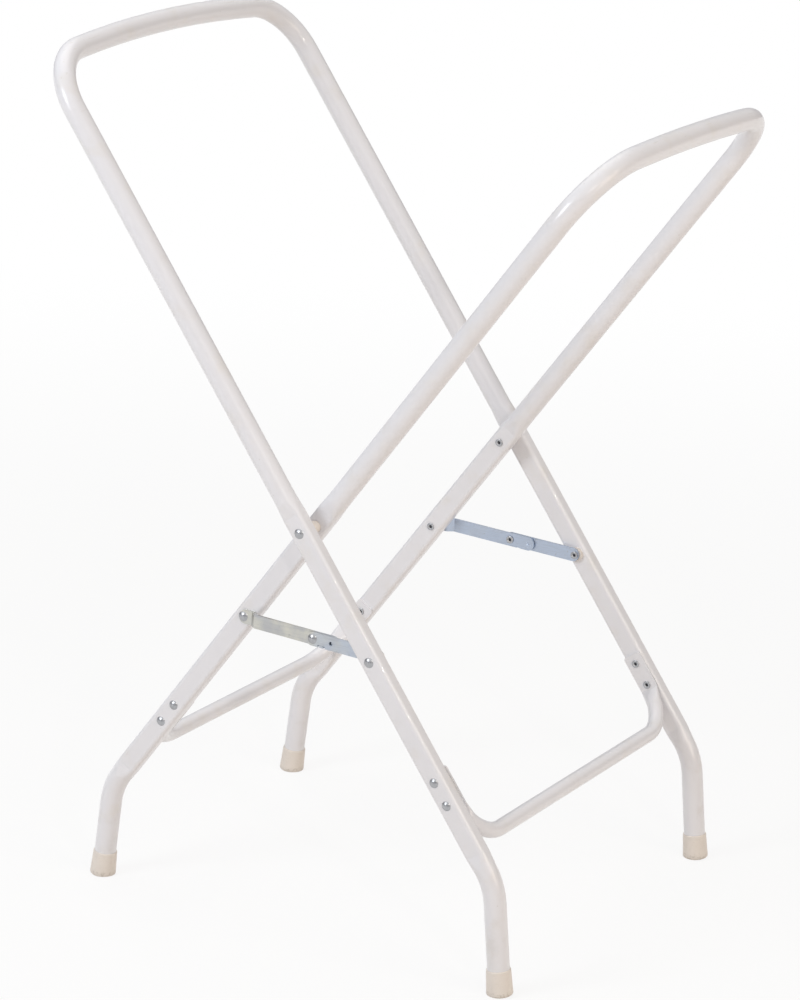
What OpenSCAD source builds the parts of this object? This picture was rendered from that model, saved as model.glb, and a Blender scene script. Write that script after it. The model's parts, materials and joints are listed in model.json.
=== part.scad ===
// Folding stand for a baby bath.
// Two tube frames cross at a riveted pivot. The tub lies across the two top bars.
// A jointed steel stay on each side holds the frames apart and folds down between them.
// Millimetres. Z is up, the floor is Z = 0, and the pivots lie on a line along Y.

/* [Tubes] */
// Outer diameter of the frame tube
tube_d = 25; // [22:0.5:32]
// Wall thickness of every tube
wall = 1.2; // [0.8:0.1:2]
// How much thinner the tube is drawn in its bends, on the radius
draw = 0.05; // [0.02:0.01:0.1]
// Outer diameter of the cross tubes
cross_d = 18; // [16:0.5:22]
// Thickness of the pressed part of a leg, side to side
flat_w = 18; // [14:0.5:22]
// Depth of the pressed part of a leg, front to back
flat_depth = 25; // [24:0.5:32]
// Corner radius of the pressed part of a leg
flat_corner = 5; // [2:0.5:8]

/* [Stance] */
// Angle of each leg from the vertical
leg_angle = 36; // [25:0.5:40]
// Height of the pivot rivets above the floor
pivot_h = 473; // [400:1:560]
// Angle at which the feet still lean outwards
foot_splay = 6.2; // [0:0.1:15]
// Centre radius of the bend above each foot
foot_bend_r = 80; // [60:1:130]

/* [Outer frame] */
// Distance from the middle to the leg centre
outer_half = 242; // [220:1:270]
// Distance from pivot to the middle of the top bar, along the leg
outer_top = 598; // [520:1:640]
// Centre radius of the two upper corners
outer_corner_r = 68; // [50:1:100]
// Distance from pivot to the foot bend, along the leg
outer_bend_at = 432; // [380:1:460]
// Distance from the foot bend up to the cross tube, along the leg
outer_cross_up = 49; // [30:1:90]

/* [Inner frame] */
// Clear gap between an outer and an inner leg
leg_gap = 16; // [14:0.5:24]
// Distance from pivot to the middle of the top bar, along the leg
inner_top = 546; // [480:1:600]
// Centre radius of the two upper corners
inner_corner_r = 80; // [50:1:100]
// Distance from pivot to the foot bend, along the leg
inner_bend_at = 447; // [380:1:460]
// Distance from the foot bend up to the cross tube, along the leg
inner_cross_up = 67; // [30:1:90]

/* [Top bars] */
// Radius of the slight bow of the top bars
bow_r = 1900; // [1200:10:4000]

/* [Pressed part of the legs] */
// How far the flat sides reach above the pivot
flat_above = 20; // [14:1:40]
// Length over which the leg turns round again above the pivot
blend_up = 17; // [10:1:30]
// Length over which the leg turns round again above the foot bend
blend_down = 16; // [10:1:30]

/* [Cross tubes] */
// Centre radius of the cross tube bends
cross_bend_r = 52; // [36:1:60]
// Angle through which the cross tube is bent up towards the leg
cross_turn = 60; // [50:1:75]
// Distance from cross tube axis to the lower rivet of its strap end
strap_low_rivet = 50; // [44:1:60]
// Distance from cross tube axis to the upper rivet of its strap end
strap_high_rivet = 78; // [66:1:90]
// Strap left beyond the upper rivet
strap_end = 11.5; // [8:0.5:20]
// Corner radius of the strap end
strap_corner = 3; // [1:0.5:8]
// Width of the flattened end
strap_w = 23; // [20:0.5:32]
// Thickness of the flattened end
strap_t = 2.6; // [2:0.1:4]
// Length over which the cross tube is flattened
strap_blend = 18; // [10:1:22]

/* [Rivets] */
// Diameter of the pivot and stay rivets
rivet_d = 6; // [5:0.1:8]
// Diameter of the strap rivets
strap_rivet_d = 5; // [4:0.1:6]
// Diameter of the large rivet heads
head_d = 11.5; // [10:0.1:14]
// Diameter of the strap rivet heads
strap_head_d = 11; // [9:0.1:13]
// Height of the domed rivet heads
head_h = 2.6; // [2:0.1:3.5]
// Diameter of the rolled rivet ends
tail_d = 9.2; // [8:0.1:12]
// Height of the rolled rivet ends
tail_h = 1.5; // [1:0.1:2.4]
// Diameter of the hollow in the rolled rivet ends
tail_bore = 3.4; // [2.5:0.1:4]
// Running clearance of every rivet in its hole, on the radius
fit = 0.05; // [0.03:0.01:0.08]
// Free play between faces that slide on each other
play = 0.3; // [0.2:0.05:0.4]

/* [Stays] */
// Distance from pivot to the stay rivet in the outer leg
outer_stay_at = 158; // [140:1:175]
// Distance from pivot to the stay rivet in the inner leg
inner_stay_at = 148; // [130:1:165]
// Width of the stay strip
stay_w = 16; // [14:0.5:20]
// Thickness of the stay strip
stay_t = 2.5; // [2:0.1:3]
// How far a stay reaches beyond its leg rivet
stay_end = 5.5; // [5:0.5:8]
// How far the long stay reaches beyond the knee
stay_tail = 32; // [26:1:38]
// Distance from knee to the locking pip
pip_at = 23.5; // [18:0.5:26]
// Diameter of the pip hole
pip_d = 4.6; // [4:0.1:6]
// Height of the pip
pip_h = 0.4; // [0.2:0.05:0.4]
// Gap between the two stay strips
plate_gap = 0.5; // [0.5:0.05:1]
// Distance from knee to the stop lug
lug_at = 11.7; // [10:0.1:16]
// Length of the stop lug along the stay
lug_len = 4.6; // [3:0.1:6]
// Length of the notch that takes the stop lug
notch_len = 9.4; // [8:0.1:12]
// Gap between stop lug and the edge it stops
lug_gap = 0.15; // [0.1:0.05:0.4]
// Distance from the inner leg rivet to the start of the joggle
joggle_at = 10.5; // [10:0.5:14]
// Angle of the joggle
joggle_angle = 42; // [30:1:60]
// Inside radius of the joggle bends
joggle_r = 1.5; // [1:0.1:3]
// Thickness of the washer between stay and outer leg
washer_t = 4; // [3.6:0.1:5]
// Diameter of the washer
washer_d = 15.5; // [13:0.5:18]

/* [Pivot] */
// Diameter of the spacer bush between the legs
spacer_d = 13.5; // [11:0.5:20]

/* [Foot caps] */
// Height of a foot cap
cap_h = 30; // [22:0.5:36]
// Diameter of a foot cap at its mouth
cap_top_d = 27.4; // [27:0.1:36]
// Diameter of a foot cap at its sole
cap_low_d = 29.6; // [28:0.1:38]
// Thickness of the cap floor
cap_floor = 5; // [3:0.5:7]
// Rounding of the lower cap edge
cap_round = 3; // [1.5:0.5:4]

/* [Hidden] */
eps = 0.02;
// Rounds a derived position to a hundredth of a millimetre
function snug(x) = round(x * 100) / 100;
tube_r = tube_d / 2;
cross_r = cross_d / 2;
rivet_r = rivet_d / 2;
strap_rivet_r = strap_rivet_d / 2;
rivet_hole = rivet_r + fit;
strap_hole = strap_rivet_r + fit;
head_r = head_d / 2;
strap_head_r = strap_head_d / 2;
tail_r = tail_d / 2;
foot_turn = leg_angle - foot_splay;
bend_reach = foot_bend_r * tan(foot_turn / 2);
shift_x = (outer_top - inner_top) * sin(leg_angle) / 2;
outer_face = outer_half + flat_w / 2;
outer_flat = outer_half - flat_w / 2;
inner_half = outer_half - flat_w - leg_gap;
outer_cross_at = outer_bend_at - outer_cross_up;
inner_cross_at = inner_bend_at - inner_cross_up;
inner_flat = inner_half + flat_w / 2;
inner_face = inner_half - flat_w / 2;
// Stay triangle: the two stays lie in one line when the stand is open
outer_stay_x = outer_stay_at * sin(leg_angle);
outer_stay_z = pivot_h - outer_stay_at * cos(leg_angle);
inner_stay_x = -inner_stay_at * sin(leg_angle);
inner_stay_z = pivot_h - inner_stay_at * cos(leg_angle);
stay_span = norm([outer_stay_x - inner_stay_x, outer_stay_z - inner_stay_z]);
stay_tilt = atan2(outer_stay_z - inner_stay_z, outer_stay_x - inner_stay_x);
long_l = (stay_span + outer_stay_at - inner_stay_at) / 2;
short_l = (stay_span - outer_stay_at + inner_stay_at) / 2;
// Layers across the gap between the legs
short_outer_y = outer_flat - washer_t - play;
short_inner_y = short_outer_y - stay_t;
long_outer_y = short_inner_y - plate_gap;
long_inner_y = long_outer_y - stay_t;
pad_y = inner_flat + play;
joggle_h = long_inner_y - pad_y;
joggle_mid_r = joggle_r + stay_t / 2;
joggle_ramp = (joggle_h - 2 * joggle_mid_r * (1 - cos(joggle_angle))) / sin(joggle_angle);
joggle_run = 2 * joggle_mid_r * sin(joggle_angle) + joggle_ramp * cos(joggle_angle);

// Sub-part to build, or all of them

$fn = 96;

// ---- placing ----

// Leg frame of the outer frame: local Z runs up the leg, local X is square to the frame
module outer_place() {
  translate([shift_x, 0, pivot_h])
    rotate([0, -leg_angle, 0])
      children();
}

// The same for the inner frame, which leans the other way
module inner_place() {
  translate([shift_x, 0, pivot_h])
    mirror([1, 0, 0])
      rotate([0, -leg_angle, 0])
        children();
}

// The right-hand copy of a piece drawn on the left side
module right_side() {
  mirror([0, 1, 0])
    children();
}

// A piece drawn on the left side and its twin on the right
module both_sides() {
  children();
  mirror([0, 1, 0])
    children();
}

// Turns a piece drawn along Z so that its Z points outwards, to the left
module along_y() {
  rotate([-90, 0, 0])
    children();
}

// Arc of bar in the local YZ plane, starting at an angle from local Y
module arc_yz(centre_r, start, turn, r, fine = 96) {
  rotate([90, 0, 90])
    rotate([0, 0, start])
      rotate_extrude(angle = turn, $fn = fine)
        translate([centre_r, 0])
          circle(r, $fn = 96);
}

// ---- frame tubes ----

// Section of the pressed leg, shrunk by inset on every side
module flat_section(inset) {
  a = flat_depth / 2 - inset;
  b = flat_w / 2 - inset;
  c = flat_corner - inset;
  union() {
    square([2 * a, 2 * (b - c)], center = true);
    square([2 * (a - c), 2 * b], center = true);
    for (sx = [-1, 1], sy = [-1, 1])
      translate([sx * (a - c), sy * (b - c)])
        circle(c);
  }
}

// Soft change from the pressed section at z = 0 to the round one at z = len
module leg_blend(len) {
  hull() {
    linear_extrude(height = eps)
      flat_section(-draw, $fn = 32);
    translate([0, 0, len - eps])
      cylinder(h = eps, r = tube_r + 2 * draw, $fn = 32);
  }
}

// Everything of one leg that lies below the upper corner, at Y = 0
module leg_run(bend_at, straight_top, inset) {
  r = tube_r - inset;
  flat_end = snug(bend_reach - bend_at + blend_down);
  run_up = flat_above + blend_up;
  run_down = flat_end - blend_down;
  translate([0, 0, run_up])
    cylinder(h = straight_top - run_up, r = r);
  translate([0, 0, flat_end])
    linear_extrude(height = flat_above - flat_end)
      flat_section(inset);
  if (inset == 0) {
    translate([0, 0, flat_above])
      leg_blend(blend_up);
    translate([0, 0, flat_end])
      mirror([0, 0, 1])
        leg_blend(blend_down);
  } else {
    translate([0, 0, flat_above - 1])
      cylinder(h = blend_up + 2, r = flat_w / 2 - wall - 1);
    translate([0, 0, run_down - 1])
      cylinder(h = blend_down + 2, r = flat_w / 2 - wall - 1);
  }
  translate([-foot_bend_r, 0, run_down])
    rotate([-90, 0, 0])
      bend(foot_bend_r, foot_turn, r);
}

// Bend that reaches a little into the straight runs at both of its ends
module bend(centre_r, turn, r) {
  over = 0.2 / centre_r * 180 / PI;
  rotate([0, 0, -over])
    rotate_extrude(angle = turn + 2 * over)
      translate([centre_r, 0])
        circle(r - draw);
}

// Length of a foot from the point of its bend to the floor
function foot_len(bend_at) = (pivot_h - bend_at * cos(leg_angle)) / cos(foot_splay);

// Local frame of a foot: local -Z runs down the foot from the point of its bend
module foot_place(half, bend_at) {
  translate([0, half, -bend_at])
    rotate([0, foot_turn, 0])
      children();
}

// Outside (inset 0) or bore (inset = wall) of a whole frame
module frame_run(half, top, corner_r, bend_at, inset) {
  beta = asin((half - corner_r) / (bow_r - corner_r));
  corner_y = half - corner_r;
  corner_z = snug(top - bow_r + (bow_r - corner_r) * cos(beta));
  r = tube_r - inset;
  foot_end = foot_len(bend_at) - cap_floor + (inset > 0 ? 2 : 0);
  both_sides() {
    translate([0, half, 0])
      leg_run(bend_at, corner_z, inset);
    foot_place(half, bend_at)
      translate([0, 0, -foot_end])
        cylinder(h = foot_end - bend_reach, r = r);
    translate([0, corner_y, corner_z])
      rotate([90, 0, 90])
        bend(corner_r, 90 - beta, r);
  }
  translate([0, 0, top - bow_r])
    arc_yz(bow_r, 90 - beta, 2 * beta, r, 2400);
}

// Holes through both legs at a distance below the pivot
module leg_holes(half, at, r) {
  both_sides()
    translate([0, half - tube_d, -at])
      along_y()
        cylinder(h = 2 * tube_d, r = r);
}

module frame_tube(half, top, corner_r, bend_at, cross_at, stay_at) {
  difference() {
    frame_run(half, top, corner_r, bend_at, 0);
    frame_run(half, top, corner_r, bend_at, wall);
    leg_holes(half, 0, rivet_hole);
    leg_holes(half, stay_at, rivet_hole);
    leg_holes(half, cross_at - strap_low_rivet, strap_hole);
    leg_holes(half, cross_at - strap_high_rivet, strap_hole);
  }
}

module outer_frame_tube() {
  color([0.90, 0.89, 0.88])
    outer_place()
      frame_tube(outer_half, outer_top, outer_corner_r, outer_bend_at, outer_cross_at, outer_stay_at);
}

module inner_frame_tube() {
  color([0.90, 0.89, 0.88])
    inner_place()
      frame_tube(inner_half, inner_top, inner_corner_r, inner_bend_at, inner_cross_at, inner_stay_at);
}

// ---- cross tubes ----

// A bar bent up at both ends, pressed to a strap where it is riveted to the legs
module cross_tube(half, cross_at) {
  face_y = half - flat_w / 2;
  end_y = snug(face_y - (cross_r + 2 * draw) * sin(cross_turn));
  bar = snug(end_y - cross_bend_r * sin(cross_turn));
  end_z = cross_bend_r * (1 - cos(cross_turn));
  strap_low = end_z + strap_blend;
  strap_len = strap_high_rivet - strap_low + strap_end;
  difference() {
    union() {
      translate([0, 0, -cross_at])
        difference() {
          cross_run(bar, cross_r);
          cross_run(bar, cross_r - wall);
        }
      both_sides()
        translate([0, face_y, -cross_at]) {
          hull() {
            translate([0, end_y - face_y, end_z])
              rotate([cross_turn - 90, 0, 0])
                translate([0, 0, -2 * draw])
                  cylinder(h = eps, r = cross_r + 2 * draw, $fn = 32);
            translate([-strap_w / 2, -strap_t, strap_low - eps])
              cube([strap_w, strap_t, eps]);
          }
          translate([-strap_w / 2, -strap_t, strap_low])
            cube([strap_w, strap_t, strap_len - strap_corner]);
          translate([strap_corner - strap_w / 2, -strap_t, strap_low])
            cube([strap_w - 2 * strap_corner, strap_t, strap_len]);
          for (sx = [-1, 1])
            translate([sx * (strap_w / 2 - strap_corner), -strap_t, strap_low + strap_len - strap_corner])
              along_y()
                cylinder(h = strap_t, r = strap_corner);
        }
    }
    leg_holes(half, cross_at - strap_low_rivet, strap_hole);
    leg_holes(half, cross_at - strap_high_rivet, strap_hole);
  }
}

// Bar and its two bends, with the bar axis at Z = 0
module cross_run(bar, r) {
  translate([0, -bar, 0])
    along_y()
      cylinder(h = 2 * bar, r = r);
  both_sides()
    translate([0, bar, cross_bend_r])
      rotate([90, 0, 90])
        rotate([0, 0, -90])
          bend(cross_bend_r, cross_turn, r);
}

module outer_cross_tube() {
  color([0.90, 0.89, 0.88])
    outer_place()
      cross_tube(outer_half, outer_cross_at);
}

module inner_cross_tube() {
  color([0.90, 0.89, 0.88])
    inner_place()
      cross_tube(inner_half, inner_cross_at);
}

// ---- foot caps ----

// Cup over the tube end, in the local frame of the foot
module cap_shape(bend_at) {
  low = foot_len(bend_at) + 1;
  translate([0, 0, -low])
    difference() {
      rotate_extrude()
        union() {
          polygon([
            [0, 0],
            [cap_low_d / 2 - cap_round, 0],
            [cap_low_d / 2, cap_round],
            [cap_top_d / 2, cap_h - 1],
            [cap_top_d / 2 - 0.6, cap_h],
            [0, cap_h]
          ]);
          intersection() {
            translate([cap_low_d / 2 - cap_round, cap_round])
              circle(cap_round);
            square([cap_low_d, cap_round]);
          }
        }
      translate([0, 0, cap_floor + 1])
        cylinder(h = cap_h, r = tube_r + fit);
    }
}

// Keeps what stands on or above the floor
module above_floor() {
  intersection() {
    children();
    translate([-pivot_h, -pivot_h, 0])
      cube([2 * pivot_h, 2 * pivot_h, pivot_h]);
  }
}

module outer_cap() {
  above_floor()
    outer_place()
      foot_place(outer_half, outer_bend_at)
        cap_shape(outer_bend_at);
}

module inner_cap() {
  above_floor()
    inner_place()
      foot_place(inner_half, inner_bend_at)
        cap_shape(inner_bend_at);
}

module outer_left_foot_cap() {
  color([0.82, 0.79, 0.75])
    outer_cap();
}

module outer_right_foot_cap() {
  color([0.82, 0.79, 0.75])
    right_side()
      outer_cap();
}

module inner_left_foot_cap() {
  color([0.82, 0.79, 0.75])
    inner_cap();
}

module inner_right_foot_cap() {
  color([0.82, 0.79, 0.75])
    right_side()
      inner_cap();
}

// ---- rivets ----

// Domed head on the face z = 0, rising to z = head_h
module rivet_head(wide) {
  ball = (wide * wide + head_h * head_h) / (2 * head_h);
  rotate_extrude()
    intersection() {
      translate([0, head_h - ball])
        circle(ball);
      square([wide, head_h]);
    }
}

// Rolled end on the face z = 0, rising to z = tail_h
module rivet_tail() {
  lip = tail_h / 2;
  rotate_extrude()
    union() {
      square([tail_r - lip, tail_h]);
      translate([tail_r - lip, lip])
        circle(lip);
    }
}

// Whole rivet along Y: head outside at y_head, rolled end inside at y_tail
module rivet(y_head, y_tail, r, wide = head_r) {
  difference() {
    union() {
      translate([0, y_head, 0])
        along_y()
          rivet_head(wide);
      translate([0, y_tail, 0])
        along_y()
          cylinder(h = y_head - y_tail, r = r);
      translate([0, y_tail, 0])
        rotate([90, 0, 0])
          rivet_tail();
    }
    tail_mouth(y_tail - tail_h);
  }
}

// Hollow of a rolled end that opens inwards at y
module tail_mouth(y) {
  translate([0, y, 0])
    along_y() {
      translate([0, 0, -1])
        cylinder(h = 7, r = tail_bore / 2);
      cylinder(h = 0.8, r1 = tail_bore / 2 + 0.8, r2 = tail_bore / 2);
    }
}

module pivot_rivet() {
  translate([shift_x, 0, pivot_h])
    rivet(outer_face, inner_face - play, rivet_r);
}

module outer_stay_rivet() {
  outer_place()
    translate([0, 0, -outer_stay_at])
      rivet(outer_face, short_inner_y - 0.1, rivet_r);
}

module strap_rivets(half, cross_at) {
  for (above = [strap_low_rivet, strap_high_rivet])
    translate([0, 0, above - cross_at])
      rivet(half + flat_w / 2, half - flat_w / 2 - strap_t, strap_rivet_r, strap_head_r);
}

module left_pivot_rivet() {
  color([0.80, 0.80, 0.81])
    pivot_rivet();
}

module right_pivot_rivet() {
  color([0.80, 0.80, 0.81])
    right_side()
      pivot_rivet();
}

module left_outer_stay_rivet() {
  color([0.80, 0.80, 0.81])
    outer_stay_rivet();
}

module right_outer_stay_rivet() {
  color([0.80, 0.80, 0.81])
    right_side()
      outer_stay_rivet();
}

module outer_left_strap_rivets() {
  color([0.80, 0.80, 0.81])
    outer_place()
      strap_rivets(outer_half, outer_cross_at);
}

module outer_right_strap_rivets() {
  color([0.80, 0.80, 0.81])
    right_side()
      outer_place()
        strap_rivets(outer_half, outer_cross_at);
}

module inner_left_strap_rivets() {
  color([0.80, 0.80, 0.81])
    inner_place()
      strap_rivets(inner_half, inner_cross_at);
}

module inner_right_strap_rivets() {
  color([0.80, 0.80, 0.81])
    right_side()
      inner_place()
        strap_rivets(inner_half, inner_cross_at);
}

// ---- spacers and washers ----

module pivot_spacer() {
  translate([shift_x, inner_flat + play, pivot_h])
    along_y()
      difference() {
        cylinder(h = outer_flat - inner_flat - play, r = spacer_d / 2);
        translate([0, 0, -1])
          cylinder(h = outer_flat - inner_flat + 2, r = rivet_hole);
      }
}

module stay_washer() {
  outer_place()
    translate([0, outer_flat - washer_t, -outer_stay_at])
      along_y()
        difference() {
          cylinder(h = washer_t, r = washer_d / 2);
          translate([0, 0, -1])
            cylinder(h = washer_t + 2, r = rivet_hole);
        }
}

module left_pivot_spacer() {
  color([0.86, 0.83, 0.78])
    pivot_spacer();
}

module right_pivot_spacer() {
  color([0.86, 0.83, 0.78])
    right_side()
      pivot_spacer();
}

module left_stay_washer() {
  color([0.86, 0.83, 0.78])
    stay_washer();
}

module right_stay_washer() {
  color([0.86, 0.83, 0.78])
    right_side()
      stay_washer();
}

// ---- stays ----

// Outline of a strip from x0 to x1 with rounded ends, as a block from y = -1 to y = 40
module strip_block(x0, x1) {
  r = stay_w / 2;
  translate([0, -1, 0])
    along_y() {
      translate([x0 + r, -r, 0])
        cube([x1 - x0 - 2 * r, stay_w, 41]);
      for (x = [x0 + r, x1 - r])
        translate([x, 0, 0])
          cylinder(h = 41, r = r);
    }
}

// Points of an arc about a centre, from angle a0 to a1
function arc_points(cx, cy, r, a0, a1, n = 8) =
  [for (i = [0:n]) [cx + r * cos(a0 + (a1 - a0) * i / n), cy + r * sin(a0 + (a1 - a0) * i / n)]];

// Side profile of the long stay in the XY plane, with its pad from y = 0
module long_profile() {
  out = joggle_r + stay_t;
  x2 = joggle_at + joggle_run;
  y2 = joggle_h - joggle_r;
  a = joggle_angle;
  polygon(concat(
    [[-stay_end, 0]],
    arc_points(joggle_at, out, out, -90, a - 90),
    arc_points(x2, y2, joggle_r, a + 90, 90),
    [[long_l + stay_tail, joggle_h], [long_l + stay_tail, joggle_h + stay_t]],
    arc_points(x2, y2, out, 90, a + 90),
    arc_points(joggle_at, out, joggle_r, a - 90, -90),
    [[-stay_end, stay_t]]
  ));
}

// Stop lug: an ear of the long stay, bent out into the notch of the short stay
module stop_lug() {
  translate([long_l + lug_at - lug_len / 2, joggle_h, -stay_w / 2])
    cube([lug_len, 2 * stay_t + plate_gap + 0.3, stay_t]);
}

// What the bend of the lug takes off the corner of the strip
module lug_corner() {
  translate([long_l + lug_at - lug_len / 2, joggle_h, -stay_w / 2])
    difference() {
      translate([0, -1, -1])
        cube([lug_len, joggle_r + 1, joggle_r + 1]);
      translate([-1, joggle_r, joggle_r])
        rotate([0, 90, 0])
          cylinder(h = lug_len + 2, r = joggle_r);
    }
}

// Long stay, drawn from its leg rivet along X
module long_stay_shape() {
  dent = 2.6;
  difference() {
    union() {
      intersection() {
        translate([0, 0, -stay_w])
          linear_extrude(height = 2 * stay_w)
            long_profile();
        strip_block(-stay_end, long_l + stay_tail);
      }
      stop_lug();
      translate([long_l + pip_at, joggle_h + stay_t, 0])
        along_y()
          rotate_extrude()
            polygon([[0, -0.5], [pip_d / 2 - 0.4, -0.5], [pip_d / 2 - 0.4, 0], [1, pip_h], [0, pip_h]]);
    }
    translate([0, -1, 0])
      along_y()
        cylinder(h = stay_t + 2, r = rivet_hole);
    translate([long_l, joggle_h - 1, 0])
      along_y()
        cylinder(h = stay_t + 2, r = rivet_hole);
    translate([long_l + pip_at, joggle_h - dent + 0.8, 0])
      sphere(dent);
    lug_corner();
  }
}

// Short stay, drawn from its leg rivet along X, lying on y = 0
module short_stay_shape() {
  difference() {
    intersection() {
      strip_block(-stay_end, short_l + stay_w / 2);
      translate([-stay_w, 0, -stay_w])
        cube([short_l + 3 * stay_w, stay_t, 2 * stay_w]);
    }
    for (x = [0, short_l])
      translate([x, -1, 0])
        along_y()
          cylinder(h = stay_t + 2, r = rivet_hole);
    translate([short_l - pip_at, -1, 0])
      along_y()
        cylinder(h = stay_t + 2, r = pip_d / 2);
    translate([short_l - lug_at - notch_len / 2, -1, -stay_w])
      cube([notch_len, stay_t + 2, stay_w / 2 + stay_t + lug_gap]);
  }
}

// Local frame at the stay rivet of the inner leg: X points along the open stay
module stay_place() {
  translate([shift_x + inner_stay_x, 0, inner_stay_z])
    rotate([0, -stay_tilt, 0])
      children();
}

module long_stay() {
  stay_place()
    translate([0, pad_y, 0])
      long_stay_shape();
}

module short_stay() {
  stay_place()
    translate([stay_span, short_inner_y, 0])
      mirror([1, 0, 0])
        short_stay_shape();
}

module knee_rivet() {
  stay_place()
    translate([long_l, 0, 0])
      rivet(short_outer_y, long_inner_y - 0.1, rivet_r);
}

module inner_stay_rivet_head() {
  stay_place()
    translate([0, pad_y, 0])
      along_y() {
        cylinder(h = stay_t, r = rivet_r);
        translate([0, 0, stay_t])
          rivet_head(head_r);
      }
}

module inner_stay_rivet_tail() {
  inner_place()
    translate([0, 0, -inner_stay_at])
      difference() {
        union() {
          translate([0, inner_face, 0])
            along_y()
              cylinder(h = flat_w, r = rivet_r);
          translate([0, inner_face, 0])
            rotate([90, 0, 0])
              rivet_tail();
        }
        tail_mouth(inner_face - tail_h);
      }
}

module left_long_stay() {
  color([0.72, 0.73, 0.72])
    long_stay();
}

module right_long_stay() {
  color([0.72, 0.73, 0.72])
    right_side()
      long_stay();
}

module left_short_stay() {
  color([0.72, 0.73, 0.72])
    short_stay();
}

module right_short_stay() {
  color([0.72, 0.73, 0.72])
    right_side()
      short_stay();
}

module left_knee_rivet() {
  color([0.80, 0.80, 0.81])
    knee_rivet();
}

module right_knee_rivet() {
  color([0.80, 0.80, 0.81])
    right_side()
      knee_rivet();
}

module left_inner_stay_rivet_head() {
  color([0.80, 0.80, 0.81])
    inner_stay_rivet_head();
}

module right_inner_stay_rivet_head() {
  color([0.80, 0.80, 0.81])
    right_side()
      inner_stay_rivet_head();
}

module left_inner_stay_rivet_tail() {
  color([0.80, 0.80, 0.81])
    inner_stay_rivet_tail();
}

module right_inner_stay_rivet_tail() {
  color([0.80, 0.80, 0.81])
    right_side()
      inner_stay_rivet_tail();
}

// ---- assembly ----

outer_frame_tube();
inner_frame_tube();
outer_cross_tube();
inner_cross_tube();
outer_right_foot_cap();
outer_left_foot_cap();
inner_right_foot_cap();
inner_left_foot_cap();
right_pivot_rivet();
left_pivot_rivet();
right_pivot_spacer();
left_pivot_spacer();
right_long_stay();
left_long_stay();
right_short_stay();
left_short_stay();
right_knee_rivet();
left_knee_rivet();
right_outer_stay_rivet();
left_outer_stay_rivet();
right_stay_washer();
left_stay_washer();
right_inner_stay_rivet_head();
left_inner_stay_rivet_head();
right_inner_stay_rivet_tail();
left_inner_stay_rivet_tail();
outer_right_strap_rivets();
outer_left_strap_rivets();
inner_right_strap_rivets();
inner_left_strap_rivets();
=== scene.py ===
"""Folding baby bath stand: lacquered tube frames, zinc plated stays, cream feet."""

import json
import math

import bpy
from mathutils import Matrix, Vector

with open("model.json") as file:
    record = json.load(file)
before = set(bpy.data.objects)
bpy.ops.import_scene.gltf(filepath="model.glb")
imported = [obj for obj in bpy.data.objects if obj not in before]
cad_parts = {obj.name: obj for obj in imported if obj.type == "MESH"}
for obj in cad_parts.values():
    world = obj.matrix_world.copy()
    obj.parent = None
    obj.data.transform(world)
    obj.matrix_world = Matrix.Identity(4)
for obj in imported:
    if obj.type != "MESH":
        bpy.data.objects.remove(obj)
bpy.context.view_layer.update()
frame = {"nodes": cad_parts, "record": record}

# ---- camera ----

EYE = Vector((2.06490, -3.66720, 1.71911))  # metres
AZIMUTH = 29.42  # degrees from -Y towards +X
ELEVATION = 16.81  # degrees that the camera looks down
ROLL = 2.37  # degrees
FOCAL = 3.87  # focal length in picture heights
SENSOR = 36.0  # millimetres
CLIP = (0.05, 100.0)  # nearest and farthest distance that is drawn, in metres


def studio_camera():
    """The camera, at the place from which the stand was photographed."""
    azimuth, elevation, roll = (math.radians(x) for x in (AZIMUTH, ELEVATION, ROLL))
    ahead = math.cos(elevation)
    back = Vector((math.sin(azimuth) * ahead, -math.cos(azimuth) * ahead, math.sin(elevation)))
    level = Vector((math.cos(azimuth), math.sin(azimuth), 0.0))
    upright = back.cross(level)
    right = level * math.cos(roll) + upright * math.sin(roll)
    up = upright * math.cos(roll) - level * math.sin(roll)
    data = bpy.data.cameras.new("studio_camera")
    data.sensor_fit = "AUTO"
    data.sensor_width = SENSOR
    data.lens = FOCAL * SENSOR
    data.clip_start, data.clip_end = CLIP
    camera = bpy.data.objects.new("studio_camera", data)
    bpy.context.scene.collection.objects.link(camera)
    turn = Matrix((right, up, back)).transposed()
    camera.matrix_world = Matrix.Translation(EYE) @ turn.to_4x4()
    bpy.context.scene.camera = camera


# ---- shader building ----


class Value:
    """A number that changes over a surface; arithmetic on it adds Math nodes."""

    def __init__(self, nodes, socket):
        self.nodes = nodes
        self.socket = socket

    def _math(self, operation, a, b):
        made = self.nodes.node("ShaderNodeMath", {"operation": operation}, {0: a, 1: b})
        return Value(self.nodes, made.outputs[0])

    def __add__(self, other):
        return self._math("ADD", self, other)

    __radd__ = __add__

    def __sub__(self, other):
        return self._math("SUBTRACT", self, other)

    def __rsub__(self, other):
        return self._math("SUBTRACT", other, self)

    def __mul__(self, other):
        return self._math("MULTIPLY", self, other)

    __rmul__ = __mul__

    def larger(self, other):
        return self._math("MAXIMUM", self, other)

    def between(self, low, high):
        """0 below low, 1 above high, and smooth between them."""
        made = self.nodes.node(
            "ShaderNodeMapRange",
            {"interpolation_type": "SMOOTHSTEP"},
            {"Value": self, "From Min": low, "From Max": high},
        )
        return Value(self.nodes, made.outputs[0])


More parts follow.
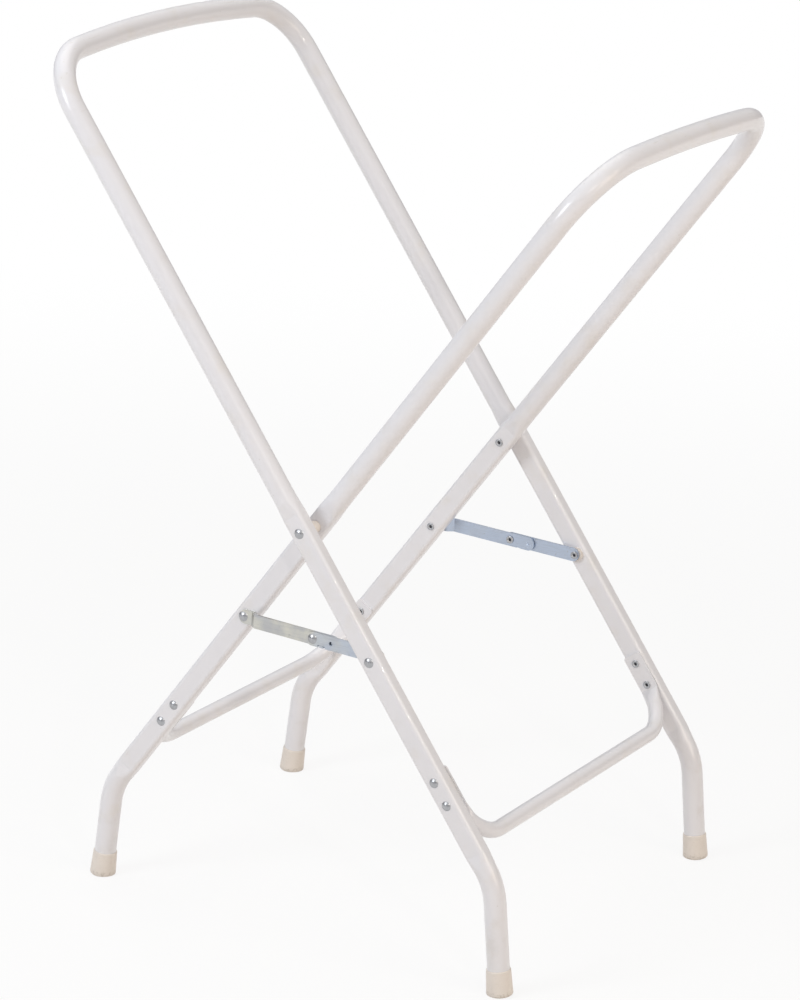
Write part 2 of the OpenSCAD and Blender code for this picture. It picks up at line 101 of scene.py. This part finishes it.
class Nodes:
    """A node tree that is filled by one method."""

    def __init__(self, tree):
        self.tree = tree
        tree.nodes.clear()

    def node(self, kind, settings=None, sockets=None):
        made = self.tree.nodes.new(kind)
        for name, setting in (settings or {}).items():
            setattr(made, name, setting)
        for name, given in (sockets or {}).items():
            if isinstance(given, Value):
                given = given.socket
            if isinstance(given, bpy.types.NodeSocket):
                self.tree.links.new(given, made.inputs[name])
            else:
                made.inputs[name].default_value = given
        return made

    def mix(self, a, b, share):
        """Colour a where share is 0, and b where it is 1."""
        # The Mix node repeats its socket names, so its colour sockets go by number.
        made = self.node("ShaderNodeMix", {"data_type": "RGBA"}, {0: share, 6: a, 7: b})
        return made.outputs[2]


class Finish(Nodes):
    """A material with one Principled shader; plain holds its constant sockets."""

    def __init__(self, name, plain):
        self.material = bpy.data.materials.new(name)
        self.material.use_nodes = True
        super().__init__(self.material.node_tree)
        self.shader = self.node("ShaderNodeBsdfPrincipled", None, plain)
        self.node("ShaderNodeOutputMaterial", None, {"Surface": self.shader.outputs[0]})
        self.place = self.node("ShaderNodeTexCoord").outputs["Object"]

    def axis(self, index):
        """Distance along X, Y or Z, in metres."""
        made = self.node("ShaderNodeSeparateXYZ", None, {0: self.place})
        return Value(self, made.outputs[index])

    def grain(self, size, detail, stretch=(1.0, 1.0, 1.0), turn=(0.0, 0.0, 0.0), seed=0.0):
        """Noise from about 0 to 1 whose blotches are size metres across."""
        scale = tuple(s / size for s in stretch)
        moved = self.node(
            "ShaderNodeMapping",
            None,
            {"Vector": self.place, "Location": (seed, seed, seed), "Rotation": turn, "Scale": scale},
        )
        made = self.node(
            "ShaderNodeTexNoise",
            None,
            {"Vector": moved.outputs[0], "Scale": 1.0, "Detail": detail},
        )
        return Value(self, made.outputs[0])

    def facing(self, index):
        """How much the surface faces along X, Y or Z, from -1 to 1."""
        normal = self.node("ShaderNodeTexCoord").outputs["Normal"]
        made = self.node("ShaderNodeSeparateXYZ", None, {0: normal})
        return Value(self, made.outputs[index])

    def pits(self, size, seed):
        """Distance to the nearest of many scattered points size metres apart, in sizes."""
        scale = (1.0 / size,) * 3
        moved = self.node(
            "ShaderNodeMapping",
            None,
            {"Vector": self.place, "Location": (seed, seed, seed), "Scale": scale},
        )
        made = self.node("ShaderNodeTexVoronoi", None, {"Vector": moved.outputs[0], "Scale": 1.0})
        return Value(self, made.outputs["Distance"])

    def set(self, **varied):
        """Feeds sockets of the shader, with _ for a space in their names."""
        for name, given in varied.items():
            if isinstance(given, Value):
                given = given.socket
            self.tree.links.new(given, self.shader.inputs[name.replace("_", " ")])

    def relief(self, height, depth, strength):
        """Bump from a height of 0 to 1 that stands depth metres tall."""
        made = self.node(
            "ShaderNodeBump", None, {"Height": height, "Strength": strength, "Distance": depth}
        )
        self.set(Normal=made.outputs[0])


# ---- finishes ----

# Colours, as linear red, green and blue, and alpha.
LACQUER = (0.835, 0.835, 0.87, 1)
LACQUER_SHADE = (0.805, 0.805, 0.84, 1)
LACQUER_YELLOWED = (0.77, 0.735, 0.69, 1)
LACQUER_DUSTY = (0.62, 0.58, 0.54, 1)
LACQUER_SCRATCHED = (0.66, 0.635, 0.60, 1)
LACQUER_SPECK = (0.50, 0.47, 0.44, 1)
ZINC_YELLOW = (0.655, 0.64, 0.575, 1)
ZINC_GREY = (0.52, 0.52, 0.52, 1)
ZINC_BLUE = (0.50, 0.565, 0.68, 1)
ZINC_BRUSHED = (0.38, 0.40, 0.42, 1)
ZINC_STAINED = (0.42, 0.42, 0.41, 1)
RIVET = (0.50, 0.505, 0.52, 1)
RIVET_SHADE = (0.38, 0.385, 0.40, 1)
RIVET_GRIME = (0.25, 0.24, 0.235, 1)
CREAM = (0.84, 0.785, 0.73, 1)
CREAM_SHADE = (0.79, 0.735, 0.68, 1)
CREAM_RUBBED = (0.70, 0.64, 0.57, 1)
CREAM_SOILED = (0.42, 0.38, 0.33, 1)

# Stretches over which wear and tint come or go, in metres.
DUSTY_HEIGHTS = (0.03, 0.20)
REST_HEIGHTS = (0.86, 0.93)  # up to the top bars, where the bath is hung
SOLE_HEIGHTS = (0.001, 0.008)
BLUE_TO_FAR_SIDE = (-0.30, 0.30)  # along Y
BLUE_TO_SHORT_LINK = (0.0, 0.05)  # along X

CREASE = math.radians(32)  # a bend sharper than this keeps its edge
WELD_GAP = 0.00001  # metres


def white_lacquer():
    """Stove lacquer on steel tube: faint orange peel, yellowing, rubbed and dusty spots."""
    f = Finish("white_lacquer", {"Coat Roughness": 0.05, "IOR": 1.5})
    height = f.axis(2)
    cloud = f.grain(0.09, 3.0)
    yellow = f.grain(0.035, 4.0, seed=7.0).between(0.52, 0.75)
    low = 1 - height.between(*DUSTY_HEIGHTS)
    rest = height.between(*REST_HEIGHTS) * f.facing(2).between(0.2, 0.9)
    scuff = f.grain(0.007, 5.0, (1.0, 1.0, 0.3), seed=3.0).between(0.60, 0.70)
    scratch = f.grain(0.004, 2.0, (1.0, 0.06, 1.0), seed=17.0).between(0.64, 0.72) * rest
    dust = f.grain(0.02, 4.0, seed=11.0).between(0.52, 0.72) * low
    speck = 1 - f.pits(0.021, 5.0).between(0.030, 0.050)
    base = f.mix(LACQUER, LACQUER_SHADE, cloud)
    base = f.mix(base, LACQUER_YELLOWED, yellow * 0.35)
    base = f.mix(base, LACQUER_DUSTY, dust * 0.22)
    base = f.mix(base, LACQUER_SCRATCHED, scratch * 0.5)
    base = f.mix(base, LACQUER_SPECK, speck * 0.25)
    f.set(Base_Color=base)
    f.set(Roughness=0.26 + 0.08 * cloud + scuff * 0.12 + rest * 0.10 + dust * 0.15)
    f.set(Coat_Weight=0.38 - scuff * 0.22 - rest * 0.14)
    peel = f.grain(0.0045, 1.0, seed=1.0)
    f.relief(peel + scratch * 0.5 - speck * 0.8, 0.00002, 0.5)
    return f.material


def zinc_strip():
    """Zinc plated strip, brushed along its length; the plating shows yellow, grey and blue."""
    f = Finish("zinc_strip", {"Metallic": 1.0})
    wash = f.grain(0.028, 3.0, seed=2.0)
    patch = f.grain(0.034, 2.0, seed=9.0).between(0.3, 0.7)
    far_side = f.axis(1).between(*BLUE_TO_FAR_SIDE)
    short_link = f.axis(0).between(*BLUE_TO_SHORT_LINK)
    blue = far_side * 0.62 + short_link * 0.35 + patch * 0.3
    lines = f.grain(0.0007, 3.0, (0.03, 1.0, 1.0), (0.0, -0.045, 0.0), seed=4.0)
    stain = f.grain(0.004, 4.0, seed=6.0).between(0.62, 0.72)
    base = f.mix(ZINC_YELLOW, ZINC_GREY, wash.between(0.38, 0.60))
    base = f.mix(base, ZINC_BLUE, blue.between(0.20, 0.85))
    base = f.mix(base, ZINC_BRUSHED, lines.between(0.40, 0.70) * 0.30)
    base = f.mix(base, ZINC_STAINED, stain * 0.45)
    f.set(Base_Color=base)
    f.set(Roughness=0.30 + 0.16 * lines + stain * 0.15)
    f.relief(lines, 0.00002, 0.35)
    return f.material


def rivet_steel():
    """Bright plated rivets with fine tool marks and scattered grime."""
    f = Finish("rivet_steel", {"Metallic": 1.0})
    wash = f.grain(0.004, 3.0, seed=2.0)
    tool = f.grain(0.0006, 2.0, (1.0, 0.2, 1.0), seed=8.0)
    grime = f.grain(0.002, 4.0, seed=5.0).between(0.58, 0.72)
    base = f.mix(RIVET, RIVET_SHADE, wash)
    base = f.mix(base, RIVET_GRIME, grime * 0.5)
    f.set(Base_Color=base)
    f.set(Roughness=0.29 + 0.10 * wash + grime * 0.2)
    f.relief(tool, 0.00001, 0.4)
    return f.material


def cream_plastic(name, seed):
    """Moulded cream plastic: matt, slightly mottled, grubby towards the floor."""
    f = Finish(name, {"IOR": 1.48})
    mottle = f.grain(0.012, 3.0, seed=seed)
    fine = f.grain(0.0009, 3.0, seed=seed + 1)
    low = 1 - f.axis(2).between(*SOLE_HEIGHTS)
    rub = f.grain(0.003, 4.0, seed=seed + 2).between(0.52, 0.68)
    base = f.mix(CREAM, CREAM_SHADE, mottle)
    base = f.mix(base, CREAM_RUBBED, rub * 0.2)
    base = f.mix(base, CREAM_SOILED, low * (0.2 + rub * 0.4))
    f.set(Base_Color=base)
    f.set(Roughness=0.40 + 0.14 * mottle + rub * 0.1)
    f.relief(fine, 0.00004, 0.5)
    return f.material


def soften(piece):
    """Even shading over the round, bent and pressed stretches of a tube."""
    for polygon in piece.data.polygons:
        polygon.use_smooth = True
    weld = piece.modifiers.new("weld", "WELD")
    weld.merge_threshold = WELD_GAP
    split = piece.modifiers.new("edges", "EDGE_SPLIT")
    split.split_angle = CREASE
    even = piece.modifiers.new("even", "WEIGHTED_NORMAL")
    even.keep_sharp = True


def dress():
    """Gives every CAD node the finish of its material slot."""
    finishes = {
        "white_lacquer": white_lacquer(),
        "zinc_strip": zinc_strip(),
        "rivet_steel": rivet_steel(),
        "cap_plastic": cream_plastic("cap_plastic", 3.0),
        "spacer_plastic": cream_plastic("spacer_plastic", 13.0),
    }
    slots = {row["node"]: row["material_slot"] for row in frame["record"]["subparts"]}
    for name, piece in frame["nodes"].items():
        piece.data.materials.clear()
        piece.data.materials.append(finishes[slots[name]])
        if slots[name] == "white_lacquer":
            soften(piece)


# ---- studio ----

WHITE = (1.0, 1.0, 1.0, 1)
FLOOR_REACH = 14.0  # metres to each side
FLOOR_LEVEL = -0.0004  # just under the soles, in metres
FLOOR_GLOW = 0.84  # share of plain white in the floor under the stand, as it is seen
FLOOR_FADE = (0.8, 3.0)  # metres out, between which the floor turns to plain white
FLOOR_SEEN = (0.95, 0.95, 0.95, 1)
FLOOR_BOUNCE = (0.77, 0.705, 0.645, 1)  # what the floor throws back at the stand
SKY_LIGHT = 0.41  # strength of the surroundings as light; they are seen at 1
HORIZON_RISE = (0.20, 0.55)  # sines of the angles above the horizon where the dim ring fades
HORIZON_COLOUR = (0.26, 0.26, 0.28, 1)  # reflected only, so that metal has contrast

# Name, place, point aimed at, size, watts and colour.
LAMPS = (
    ("key_lamp", (-1.3, -2.6, 1.9), (0.0, 0.0, 0.7), 1.2, 38.0, (0.92, 0.955, 1.0)),
    ("fill_lamp", (3.2, -0.6, 1.5), (0.0, 0.0, 0.6), 1.6, 28.0, (1.0, 0.87, 0.74)),
    ("top_lamp", (-0.8, 0.4, 3.0), (0.0, 0.0, 0.6), 2.0, 20.0, (1.0, 0.94, 0.88)),
    ("glint_lamp", (2.7, -2.5, 2.3), (0.0, 0.0, 0.6), 0.3, 15.0, (1.0, 0.93, 0.84)),
)


def seen_ray(nodes):
    """1 for rays that show a surface directly, in a reflection or through glass."""
    path = nodes.node("ShaderNodeLightPath")
    seen = Value(nodes, path.outputs["Is Camera Ray"])
    seen = seen.larger(Value(nodes, path.outputs["Is Glossy Ray"]))
    return seen.larger(Value(nodes, path.outputs["Is Transmission Ray"]))


def studio_floor():
    """Wide pale floor that stays white in the picture and keeps a soft shadow."""
    sides = [(-1, -1), (1, -1), (1, 1), (-1, 1)]
    corners = [(x * FLOOR_REACH, y * FLOOR_REACH, FLOOR_LEVEL) for x, y in sides]
    mesh = bpy.data.meshes.new("studio_floor")
    mesh.from_pydata(corners, [], [(0, 1, 2, 3)])
    floor = bpy.data.objects.new("studio_floor", mesh)
    bpy.context.scene.collection.objects.link(floor)
    material = bpy.data.materials.new("studio_floor")
    material.use_nodes = True
    n = Nodes(material.node_tree)
    colour = n.mix(FLOOR_BOUNCE, FLOOR_SEEN, seen_ray(n))
    matt = n.node("ShaderNodeBsdfDiffuse", None, {"Color": colour})
    glow = n.node("ShaderNodeEmission", None, {"Color": WHITE, "Strength": 1.0})
    place = n.node("ShaderNodeTexCoord").outputs["Object"]
    length = n.node("ShaderNodeVectorMath", {"operation": "LENGTH"}, {0: place})
    fade = Value(n, length.outputs["Value"]).between(*FLOOR_FADE)
    share = seen_ray(n) * (FLOOR_GLOW + (1 - FLOOR_GLOW) * fade)
    mixed = n.node("ShaderNodeMixShader", None, {0: share, 1: matt.outputs[0], 2: glow.outputs[0]})
    n.node("ShaderNodeOutputMaterial", None, {"Surface": mixed.outputs[0]})
    mesh.materials.append(material)


def studio_world():
    """White surroundings that light the stand evenly, with a dim horizon in reflections."""
    world = bpy.data.worlds.new("studio")
    bpy.context.scene.world = world
    world.use_nodes = True
    n = Nodes(world.node_tree)
    way = n.node("ShaderNodeTexCoord").outputs["Generated"]
    rise = Value(n, n.node("ShaderNodeSeparateXYZ", None, {0: way}).outputs[2])
    glossy = Value(n, n.node("ShaderNodeLightPath").outputs["Is Glossy Ray"])
    dim = (1 - rise.between(*HORIZON_RISE)) * glossy
    colour = n.mix(WHITE, HORIZON_COLOUR, dim)
    strength = SKY_LIGHT + seen_ray(n) * (1 - SKY_LIGHT)
    sky = n.node("ShaderNodeBackground", None, {"Color": colour, "Strength": strength})
    n.node("ShaderNodeOutputWorld", None, {"Surface": sky.outputs[0]})


def soft_lamp(name, at, aim, size, power, colour):
    """A square lamp of size metres, turned towards a point."""
    data = bpy.data.lights.new(name, "AREA")
    data.shape = "SQUARE"
    data.size = size
    data.energy = power
    data.color = colour
    lamp = bpy.data.objects.new(name, data)
    bpy.context.scene.collection.objects.link(lamp)
    lamp.location = at
    lamp.rotation_mode = "QUATERNION"
    lamp.rotation_quaternion = (Vector(at) - Vector(aim)).to_track_quat("Z", "Y")


studio_camera()
dress()
studio_floor()
studio_world()
# Cool light from the front left, warm light from the right and above, and a small sharp lamp.
for lamp in LAMPS:
    soft_lamp(*lamp)
bpy.context.scene.view_settings.view_transform = "Standard"
